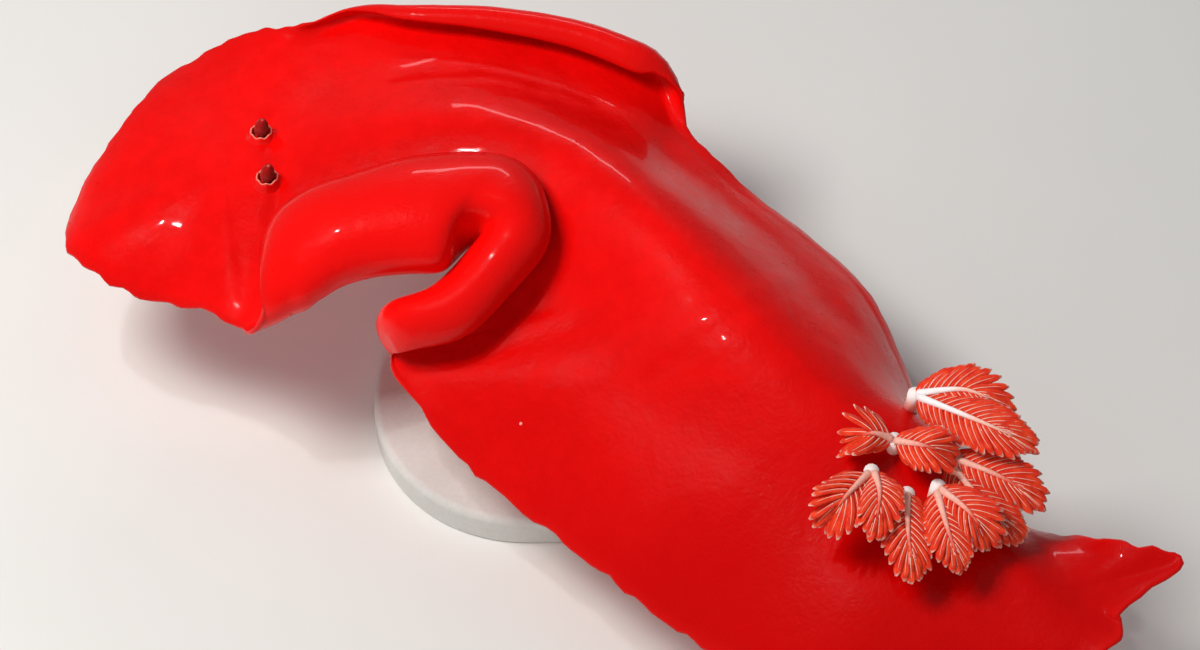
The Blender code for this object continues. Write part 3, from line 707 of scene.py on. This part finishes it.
skinSettings = {
    "sideColumns": 190,
    # more columns where the left roll ends: from and to these shares of the midline, and how many
    "tipColumns": (0.534, 0.562, 22),
    "frontColumns": 72,
    "rearColumns": 40,
    "backRows": 12,
    "mantleRows": 18,
    "marginRows": 34,
    "edgeRows": 4,
    # the side of the body and the foot, from under the mantle to the midline of the sole:
    # half widths out, and how far down from the mantle to the belly
    "wall": [(1.0, 0.0), (0.93, 0.12), (0.86, 0.32), (0.80, 0.6), (0.77, 0.85), (0.78, 0.97)],
    # half widths out, and millimetres below the belly
    "foot": [
        (0.95, 0.6),
        (1.06, 1.6),
        (1.05, 2.4),
        (0.93, 3.7),
        (0.75, 4.6),
        (0.5, 5.1),
        (0.2, 4.9),
        (0.0, 4.5),
    ],
    # the lips and the mouth line between them: half widths out, how far down the side, and how tall
    "lips": [(0.20, 0.32, 0.13), (0.22, 0.66, 0.14)],
    "mouth": (0.17, 0.49, 0.045),
}


# 1 at the middle, falling smoothly to 0 on both sides.
def bell(value, middle, reach):
    return math.exp(-(((value - middle) / reach) ** 2))


# One column of the side and the sole, down from under the mantle.
def sideProfile(ray, topPoint, settings):
    forward = unit(spine[0][:2] - spine[1][:2])
    # the lips show only on the columns that run forward
    lips = smooth(0.80, 0.97, float(ray.along @ forward)) * (1 - smooth(0, 0.01, ray.share))
    control = []
    for out, down in settings["wall"]:
        swell = sum(size * bell(down, middle, reach) for size, middle, reach in settings["lips"])
        control.append(np.array((out + lips * swell, down)))
    points = []
    drop = topPoint[2] - ray.belly
    depth, mouth, tall = settings["mouth"]
    finer = 5
    for step in range(1, finer * (len(control) - 1) + 1):
        out, down = passing(control, step / finer)
        groove = lips * depth * bell(down, mouth, tall)
        out = (out - groove) * ray.halfWidth * min(1, 0.8 * ray.length / ray.halfWidth)
        points.append([*(ray.start + ray.along * out), topPoint[2] - drop * down])
    wide = ray.halfWidth * (1 + 0.25 * (1 - smooth(0, 0.05, ray.share)))
    if ray.share > 0.999:
        wide *= 1 + 1.6 * smooth(0.5, 1, ray.along[0])
    sole = [np.array(pair) for pair in settings["foot"]]
    for step in range(0, 2 * (len(sole) - 1) + 1):
        out, down = passing(sole, step / 2)
        points.append([*(ray.start + ray.along * out * wide), ray.belly - down])
    return points


# The lines of the mantle, once round: the left side, the rear, the right side and the front.
def raysRound(settings):
    count = settings["sideColumns"] + 2
    eased = 0.5 - 0.5 * np.cos(np.linspace(0, math.pi, count)[1:-1])
    shares = 0.55 * eased + 0.45 * np.linspace(0, 1, count)[1:-1]
    shares = np.unique(np.concatenate([shares, np.linspace(*settings["tipColumns"])]))
    leftFront, leftRear = bodySettings["corners"]["left"]
    rightFront, rightRear = bodySettings["corners"]["right"]
    rays = [Ray(place, share) for place, share in zip(placesOf("left", shares), shares)]
    rays += [Ray(place) for place in np.linspace(leftRear, rightRear, settings["rearColumns"])]
    shares = shares[::-1]
    rays += [Ray(place, share) for place, share in zip(placesOf("right", shares), shares)]
    rays += [Ray(place) for place in np.linspace(rightFront, leftFront + len(brim), settings["frontColumns"])]
    return rays


# The upper face: the row numbers of each column, its points, and the ways up from it and outward along it.
def upperFace(rays, settings):
    marks, upper = [], []
    for ray in rays:
        root = ray.wallRow()
        rows = list(np.linspace(0, root, settings["backRows"], endpoint=False))
        rows += list(np.linspace(root, 1, settings["mantleRows"], endpoint=False))
        rows += list(np.linspace(1, 2, settings["marginRows"]))
        marks.append(rows)
        upper.append([ray.at(row) for row in rows])
    upper = np.array(upper)
    onward = np.roll(upper, -1, axis=0) - np.roll(upper, 1, axis=0)
    outward = np.gradient(upper, axis=1)
    normal = np.cross(outward, onward)
    normal /= np.maximum(np.linalg.norm(normal, axis=2, keepdims=True), 1e-9)
    outward /= np.maximum(np.linalg.norm(outward, axis=2, keepdims=True), 1e-9)
    notchDepth, notchWidth, cutIn = reliefSettings["notches"]
    for index, ray in enumerate(rays):
        edgeNoise = noise.noise(Vector(ray.at(2)) / notchWidth) - cutIn
        for row, mark in enumerate(marks[index]):
            raised = relief(upper[index][row])
            if row == 0:
                # both sides meet on the midline, so its points move straight up
                upper[index][row][2] += raised
            else:
                upper[index][row] += normal[index][row] * raised
            if mark > 1:
                notch = (1 - ray.rolled) * notchDepth * edgeNoise * (mark - 1) ** 2
                upper[index][row] += outward[index][row] * notch
    return marks, upper, normal, outward


# One column of the skin, with how near the edge and how far under the mantle each of its points is.
def skinColumn(ray, rows, upper, normal, outward, settings):
    points = list(upper)
    edge = [max(row - 1, 0) for row in rows]
    under = [0.0] * len(rows)
    tip, over, out = points[-1], normal[-1], outward[-1]
    thick = ray.thickness(2)
    for step in range(1, settings["edgeRows"]):
        turn = math.pi * step / settings["edgeRows"]
        middle = tip - over * thick / 2
        points.append(middle + (over * math.cos(turn) + out * math.sin(turn)) * thick / 2)
        edge.append(1.0)
        under.append(step / settings["edgeRows"])
    for row in range(len(rows) - 1, settings["backRows"] - 1, -1):
        share = (rows[row] - ray.wallRow()) / (1 - ray.wallRow())
        upright = 1 - smooth(0, 0.6, share)
        down = normal[row] * (1 - upright) + np.array([0, 0, 1]) * upright
        points.append(upper[row] - unit(down) * ray.thickness(rows[row]))
        edge.append(max(rows[row] - 1, 0))
        under.append(1.0)
    side = sideProfile(ray, points[-1], settings)
    points += [np.array(point) for point in side]
    edge += [0.0] * len(side)
    under += [1.0] * len(side)
    return points, edge, under


# The whole skin as one grid: its columns run round the animal, and its rows from the midline of the back
# over the margin's edge and under the mantle to the midline of the sole.
def skinGrid(settings):
    rays = raysRound(settings)
    faces = zip(rays, *upperFace(rays, settings))
    columns = [skinColumn(*face, settings) for face in faces]
    return [np.array(table) for table in zip(*columns)]


def makeSkin(settings):
    points, edges, unders = skinGrid(settings)
    count, rows = points.shape[:2]
    shape = bmesh.new()
    bmesh.ops.create_grid(shape, x_segments=count, y_segments=rows - 1, size=1)
    edgeLayer = shape.verts.layers.float.new("edge")
    underLayer = shape.verts.layers.float.new("under")
    places = lifted(points)
    shape.verts.ensure_lookup_table()
    for index, vertex in enumerate(shape.verts):
        column, row = index % (count + 1) % count, index // (count + 1)
        vertex.co = places[column][row]
        vertex[edgeLayer] = edges[column][row]
        vertex[underLayer] = unders[column][row]
    made = meshed(shape, "skin", flesh)
    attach(made, "root")
    fleshNodes = [name for name in nodes if name.startswith(("head", "back", "mantle", "foot", "tail"))]
    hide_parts(*fleshNodes)
    return made


skin = makeSkin(skinSettings)
print("skin made:", len(skin.data.polygons), "faces")

# The gills

plumeSettings = {
    # each gill: its stalk, and its plumes, each with half its width and the points of its shaft
    "gills": [
        ([(63, -16, 3), (63, -19.5, 10)], [
            (4.5, (63, -19.5, 10), (73.5, -22, 15), (82, -26.5, 14.5)),
            (4.8, (63, -20, 10), (76, -31.5, 16), (87, -37, 15)),
        ]),
        ([(69.5, -31, 2), (70, -35.5, 8)], [
            (4.6, (70, -35.5, 8), (80, -42, 10), (88.5, -47, 8)),
            (4.4, (69.5, -36, 7), (76.5, -48, 8), (84, -54, 5)),
        ]),
        ([(66, -41, 0), (66.5, -44, 9)], [
            (4.4, (66.5, -44.5, 9), (72, -52.5, 12), (76, -57.5, 9)),
            (3.6, (66, -45, 9), (67.5, -57, 11), (70, -64, 8)),
        ]),
        ([(59.5, -43, 1), (59.5, -46, 9)], [
            (4.2, (59.5, -45.5, 9), (59, -56.5, 9.5), (60, -65, 6.5)),
        ]),
        ([(53, -36, 3), (52, -40, 9)], [
            (4.8, (51.5, -41, 10), (46, -49, 13), (42.5, -52.5, 10)),
            (4.0, (52.5, -41, 10), (53, -49, 13), (51.5, -58, 11)),
        ]),
        ([(58, -30, 3), (57.5, -32, 10)], [
            (4.4, (57, -32, 10), (52.5, -32.5, 13), (49, -32.5, 11)),
            (4.2, (57.5, -32.5, 10), (63, -36.5, 14), (69, -37.5, 12)),
        ]),
    ],
    # millimetres from one pair of blades to the next
    "spacing": 1.3,
    "fullness": 1.2,
    "bladeWidth": 1.9,
    "bladeThickness": 0.22,
    # where the blades grow on a shaft: the first, and how far the others spread from it
    "firstBlade": 0.02,
    "spread": 0.76,
    # the stalk's radii, and how pale it is, from its buried foot to its top
    "stalkRadii": [0, 2.0, 1.55, 1.75, 0],
    "stalkPale": [0.55, 0.6, 0.75, 0.95, 0.95],
    # a shaft's radius at its root, how much thinner its tip is, and its steps
    "shaft": (1.1, 0.9, 14),
    # how white the shafts are: in the first gill, and in the others
    "whiteness": (1.0, 0.62),
    # a blade's steps along it and across it
    "bladeSteps": (9, 4),
    "ribRadius": 0.15,
    "seed": 11,
}


# A point on a path and the way ahead there.
def pathAt(path, share):
    place = share * (len(path) - 1)
    ahead = passing(path, min(place + 0.02, len(path) - 1)) - passing(path, max(place - 0.02, 0))
    return passing(path, place), unit(ahead)


# A closed tube through points. Its radii are 0 at both ends, so that the ends weld shut.
def addTube(shape, points, radii, around, layer, pale):
    steps = len(points) - 1
    grid = bmesh.ops.create_grid(shape, x_segments=around, y_segments=steps, size=1)["verts"]
    grid = sorted(grid, key=lambda vertex: vertex.index)
    reference = np.array([0.3, 0.1, 0.95])
    for step in range(steps + 1):
        ahead = unit(points[min(step + 1, steps)] - points[max(step - 1, 0)])
        side = unit(reference - ahead * (ahead @ reference))
        other = np.cross(ahead, side)
        for index in range(around + 1):
            turn = math.tau * (index % around) / around
            place = points[step] + (side * math.cos(turn) + other * math.sin(turn)) * radii[step]
            vertex = grid[step * (around + 1) + index]
            vertex.co = lifted(place)
            vertex[layer] = pale[step]


# One filament: a thin blade with a frilled edge, and a pale rib along the top of it.
def addFilament(layers, root, ways, reach, width, settings, draw):
    blades, bladeLayer, ribs, ribLayer = layers
    outward, ahead, normal = ways
    steps, across = settings["bladeSteps"]
    bend = draw.uniform(-0.06, 0.06)
    phase = draw.uniform(0, math.tau)
    centres = []
    for step in range(steps + 1):
        out = step / steps
        forward = (0.62 + bend) * out + 0.42 * out**2
        centres.append(root + (outward * out + ahead * forward - normal * 0.34 * out**2) * reach)
    grid = bmesh.ops.create_grid(blades, x_segments=across, y_segments=steps, size=1)["verts"]
    grid = sorted(grid, key=lambda vertex: vertex.index)
    for step in range(steps + 1):
        out = step / steps
        onward = unit(centres[min(step + 1, steps)] - centres[max(step - 1, 0)])
        side = unit(np.cross(normal, onward))
        over = np.cross(onward, side)
        half = width / 2 * (0.75 + 0.5 * out) * math.sqrt(max(1 - out**5, 0.02))
        for index in range(across + 1):
            share = 2 * index / across - 1
            frill = 0.30 * out * abs(share) * math.sin(phase + 9.5 * out + 1.2 * share)
            tilt = 0.32 * share * half
            place = centres[step] + side * share * half + over * (tilt - 0.25 * share**2 * half + frill)
            vertex = grid[step * (across + 1) + index]
            vertex.co = lifted(place)
            vertex[bladeLayer] = 0.2 * abs(share) ** 3 + 0.6 * smooth(0.84, 1.0, out)
    top = [centre + normal * 0.12 for centre in centres[:-1]]
    thickest = settings["ribRadius"]
    radii = [0.0] + [thickest * (1 - 0.7 * step / steps) for step in range(1, len(top) - 1)] + [0.0]
    addTube(ribs, top, radii, 5, ribLayer, [0.72 - 0.2 * step / steps for step in range(len(top))])


def makeGill(number, stalk, plumes, settings):
    draw = random.Random(settings["seed"] * 31 + number)
    blades, ribs = bmesh.new(), bmesh.new()
    bladeLayer = blades.verts.layers.float.new("pale")
    ribLayer = ribs.verts.layers.float.new("pale")
    layers = (blades, bladeLayer, ribs, ribLayer)
    start, end = (np.array(point, float) for point in stalk)
    lowest = np.array([start[0], start[1], start[2] - 5.0])
    rise = end - lowest
    path = [lowest, lowest + 0.02 * rise, lowest + 0.5 * rise, end, end + 0.25 * unit(rise)]
    addTube(ribs, path, settings["stalkRadii"], 12, ribLayer, settings["stalkPale"])
    whiteness = settings["whiteness"][0 if number == 1 else 1]
    thickest, thinner, steps = settings["shaft"]
    for halfWidth, *points in plumes:
        shaft = [np.array(point, float) for point in points]
        length = sum(float(np.linalg.norm(after - before)) for before, after in zip(shaft, shaft[1:]))
        reached = settings["spread"] + 0.04
        centres = [pathAt(shaft, reached * step / steps)[0] for step in range(steps + 1)]
        radii = [0.0] + [thickest - thinner * (step / steps) ** 0.8 for step in range(1, steps)] + [0.0]
        pale = [whiteness * (1 - 0.45 * smooth(0.3, 1.0, step / steps)) for step in range(steps + 1)]
        addTube(ribs, centres, radii, 8, ribLayer, pale)
        count = 2 * round(settings["spread"] * length / settings["spacing"])
        for index in range(count):
            side = 1 if index % 2 else -1
            fullest = (index + 0.5) / count
            share = settings["firstBlade"] + settings["spread"] * fullest
            point, ahead = pathAt(shaft, share)
            across = unit(np.cross(ahead, (0.0, -0.35, 0.94)))
            normal = np.cross(across, ahead)
            reach = settings["fullness"] * halfWidth * (0.55 + 0.5 * math.sin(math.pi * fullest**0.75))
            reach *= draw.uniform(0.93, 1.05)
            width = settings["bladeWidth"] * draw.uniform(0.9, 1.1)
            root = point + across * side * 0.3 - normal * 0.15
            # towards the tip the blades fan forward
            fan = 0.85 * smooth(0.4, 1.0, fullest)
            outward = unit(across * side * (1 - fan) + ahead * fan)
            addFilament(layers, root, (outward, ahead, normal), reach, width, settings, draw)
    membrane = meshed(blades, f"gill_{number}_membranes", gillFlesh, 1e-7)
    thicken = membrane.modifiers.new("thickness", "SOLIDIFY")
    thicken.thickness = settings["bladeThickness"] * 0.001
    thicken.offset = 0
    shafts = meshed(ribs, f"gill_{number}_shafts", gillFlesh, 1e-7)
    for piece in (membrane, shafts):
        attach(piece, "root")
    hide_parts(f"gill_{number}")


for number, (stalk, plumes) in enumerate(plumeSettings["gills"], 1):
    makeGill(number, stalk, plumes, plumeSettings)
print("gills made")

# The head's sense organs. The rhinophores stand in low cups, and the oral tentacles beside the mouth.

rhinophoreSettings = {
    "places": {"rhinophore_right": (-91, 63), "rhinophore_left": (-88.5, 48.5)},
    # the cup's section: radius, height, paleness
    "cup": [
        (4.4, -0.9, 0.0),
        (3.7, -0.1, 0.0),
        (3.1, 0.6, 0.05),
        (2.75, 1.4, 0.35),
        (2.55, 1.75, 0.8),
        (2.3, 1.6, 0.6),
        (2.05, 0.9, 0.1),
        (1.6, 0.2, 0.0),
        (0.9, -0.1, 0.0),
    ],
    # the cup's frilled rim: height of its waves, and how many
    "frill": (0.28, 7),
    "plates": 11,
    "height": 5.6,
    "clubRadius": 1.75,
    # painted shade: what lies nearer the middle than this, the club and the floor of its cup, is painted deep
    # red
    "paintedShadeRadius": 1.9,
    # what lies further out than this follows the back
    "footRadius": 2.9,
    "lean": 0.16,
}


# A round form, from a profile of radii, heights and palenesses.
def turned(shape, profile, steps, layer):
    verts = []
    for radius, height, value in profile:
        vertex = shape.verts.new((radius, 0, height))
        vertex[layer] = value
        verts.append(vertex)
    edges = [shape.edges.new(pair) for pair in zip(verts, verts[1:])]
    bmesh.ops.spin(
        shape,
        geom=verts + edges,
        cent=(0, 0, 0),
        axis=(0, 0, 1),
        dvec=(0, 0, 0),
        angle=math.tau,
        steps=steps,
        use_merge=True,
    )


def makeRhinophore(name, x, y, ground, settings):
    shape = bmesh.new()
    layer = shape.verts.layers.float.new("pale")
    turned(shape, settings["cup"], 48, layer)
    top, dark = settings["height"], settings["paintedShadeRadius"]
    profile = [(0.9, -0.2, 0.0)]
    for plate in range(settings["plates"]):
        share = plate / (settings["plates"] - 1)
        wide = settings["clubRadius"] * math.sin(math.pi * (0.28 + 0.62 * share)) ** 0.6
        level = 1.0 + (top - 1.6) * share
        profile += [(wide * 0.72, level, 0.0), (wide, level + 0.11, 0.4)]
        profile += [(wide, level + 0.2, 0.4), (wide * 0.72, level + 0.3, 0.0)]
    profile += [(0.35, top - 0.1, 0.5), (0.0, top, 0.6)]
    turned(shape, profile, 40, layer)
    seat = ground(x, y)
    paintedShadeLayer = shape.verts.layers.float.new("dark")
    wave, waves = settings["frill"]
    for vertex in shape.verts:
        px, py, pz = vertex.co
        out = math.hypot(px, py)
        # painted shade: the club and the floor of the cup are marked to be painted deep red
        vertex[paintedShadeLayer] = 1.0 if out < dark else 0.0
        if out > dark and pz > 0.5:
            pz += wave * math.sin(waves * math.atan2(py, px)) * smooth(0.6, 1.6, pz)
        lean = settings["lean"] * max(pz, 0)
        floor = ground(x + px, y + py) - seat if out > settings["footRadius"] else 0.0
        vertex.co = lifted((x + px + lean, y + py, seat + floor + pz))
    made = meshed(shape, name + "_detailed", organFlesh)
    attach(made, "root")
    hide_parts(name)


tentacleSettings = {
    "reach": 13.0,
    "around": 72,
    "steps": 18,
    "rootWidth": 3.4,
    "spread": 5.6,
    "fingers": 11,
    # the root's place from the front of the midline: forward, outward, height
    "root": (8, 7.6, -5.0),
    # which way the lobe points: forward, outward, up
    "aim": (0.62, 0.76, -0.12),
    # thickness at the root and near the edge
    "thickness": (2.8, 1.3),
    # how far the edge sags in the middle, and how much more at the sides
    "sag": (2.2, 0.8),
}


# A broad lobe beside the mouth, with small fingers along its edge.
def makeTentacle(name, side, settings):
    forward = unit(np.append(spine[0][:2] - spine[1][:2], 0.0))
    outward = np.array([forward[1], -forward[0], 0.0]) * side
    near, aside, level = settings["root"]
    root = np.array([*spine[0][:2], level]) + forward * near + outward * aside
    near, aside, rise = settings["aim"]
    ahead = unit(forward * near + outward * aside + np.array([0, 0, rise]))
    across = unit(np.cross(ahead, (0, 0, 1)))
    around, steps = settings["around"], settings["steps"]
    thickRoot, thickEdge = settings["thickness"]
    sag, sideSag = settings["sag"]
    shape = bmesh.new()
    layer = shape.verts.layers.float.new("pale")
    bmesh.ops.create_grid(shape, x_segments=around, y_segments=steps, size=1)
    shape.verts.ensure_lookup_table()
    for index, vertex in enumerate(shape.verts):
        turn = math.tau * (index % (around + 1)) / around
        out = index // (around + 1) / steps
        share = math.cos(turn)
        fingers = 0.09 * math.cos(settings["fingers"] * math.pi * share) * smooth(0.5, 1, out)
        reach = (settings["reach"] + 2.5) * (1 - 0.42 * share**2) * (1 + fingers)
        wide = settings["rootWidth"] + settings["spread"] * smooth(0, 0.8, out)
        thick = (thickRoot * (1 - out) + thickEdge * out) * math.sqrt(max(1 - out**6, 0.0))
        place = root + ahead * reach * out + across * share * wide
        place[2] += math.sin(turn) * thick / 2 - sag * out**2 - sideSag * share**2
        vertex.co = lifted(place)
        vertex[layer] = 0.5 * smooth(0.85, 1, out)
    bmesh.ops.remove_doubles(shape, verts=shape.verts, dist=2e-6)
    bmesh.ops.holes_fill(shape, edges=[edge for edge in shape.edges if edge.is_boundary], sides=around + 2)
    made = meshed(shape, name + "_detailed", organFlesh)
    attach(made, "root")
    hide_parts(name)


def makeOrgans():
    shape = bmesh.new()
    shape.from_mesh(skin.data)
    tree = BVHTree.FromBMesh(shape)
    shape.free()

    # how high the skin's upper face is at a place
    def ground(x, y):
        start = Vector(lifted((x, y, 60)))
        hit = tree.ray_cast(start, Vector((0, 0, -1)))[0]
        return hit.z * 1000 - bodySettings["swimLevel"]

    for name, (x, y) in rhinophoreSettings["places"].items():
        makeRhinophore(name, x, y, ground, rhinophoreSettings)
    for name, side in (("oral_tentacle_left", -1), ("oral_tentacle_right", 1)):
        makeTentacle(name, side, tentacleSettings)


makeOrgans()
print("head organs made")

# The stand

standSizes = {
    "length": 0.116,
    "depth": 0.080,
    "height": 0.009,
    "corner": 0.038,
    "topEdge": 0.002,
    "bottomEdge": 0.0006,
    "rodRadius": 0.0025,
    # how far each rod reaches down into the base, and how much longer it is in all
    "rodLower": 0.0004,
    "rodLonger": 0.0012,
}


def makeBase(settings):
    shape = bmesh.new()
    bmesh.ops.create_cube(shape, size=1)
    bmesh.ops.scale(shape, verts=shape.verts, vec=(settings["length"], settings["depth"], settings["height"]))
    bmesh.ops.translate(shape, verts=shape.verts, vec=(0, 0, settings["height"] / 2))
    bevel = {"affect": "EDGES", "profile": 0.5, "material": -1}
    bevel |= {"offset_type": "OFFSET", "clamp_overlap": True}
    upright = [edge for edge in shape.edges if abs(edge.verts[0].co.z - edge.verts[1].co.z) > 0.001]
    bmesh.ops.bevel(shape, geom=upright, offset=settings["corner"], segments=24, **bevel)
    for level, offset in ((settings["height"], settings["topEdge"]), (0.0, settings["bottomEdge"])):
        rim = [edge for edge in shape.edges if all(abs(vertex.co.z - level) < 1e-6 for vertex in edge.verts)]
        bmesh.ops.bevel(shape, geom=rim, offset=offset, segments=5, **bevel)
    made = meshed(shape, "stand_base_finished", standPaint)
    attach(made, "root")
    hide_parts("stand_base")


def makeRod(name, settings):
    low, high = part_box(name)
    shape = bmesh.new()
    radius, depth = settings["rodRadius"], high[2] - low[2] + settings["rodLonger"]
    bmesh.ops.create_cone(shape, cap_ends=True, segments=40, radius1=radius, radius2=radius, depth=depth)
    height = low[2] - settings["rodLower"] + depth / 2
    middle = ((low[0] + high[0]) / 2, (low[1] + high[1]) / 2, height)
    bmesh.ops.translate(shape, verts=shape.verts, vec=middle)
    made = meshed(shape, name + "_finished", rodSteel)
    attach(made, "root")
    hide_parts(name)


makeBase(standSizes)
for name in ("stand_rod_front", "stand_rod_rear"):
    makeRod(name, standSizes)
print("stand made")

# Floor

floorSettings = {
    "size": 6.0,
    "colour": (0.80, 0.79, 0.765),
    "shade": (0.76, 0.75, 0.725),
    "shadeGrain": 60,
    "roughness": 0.6,
}


def makeFloor(settings):
    shape = bmesh.new()
    bmesh.ops.create_grid(shape, x_segments=2, y_segments=2, size=settings["size"] / 2)
    kit = MaterialKit("pale floor")
    colour = kit.mix(settings["colour"], settings["shade"], kit.noise(settings["shadeGrain"], 2))
    floor = meshed(shape, "floor", kit.finish(Base_Color=colour, Roughness=settings["roughness"]))


makeFloor(floorSettings)
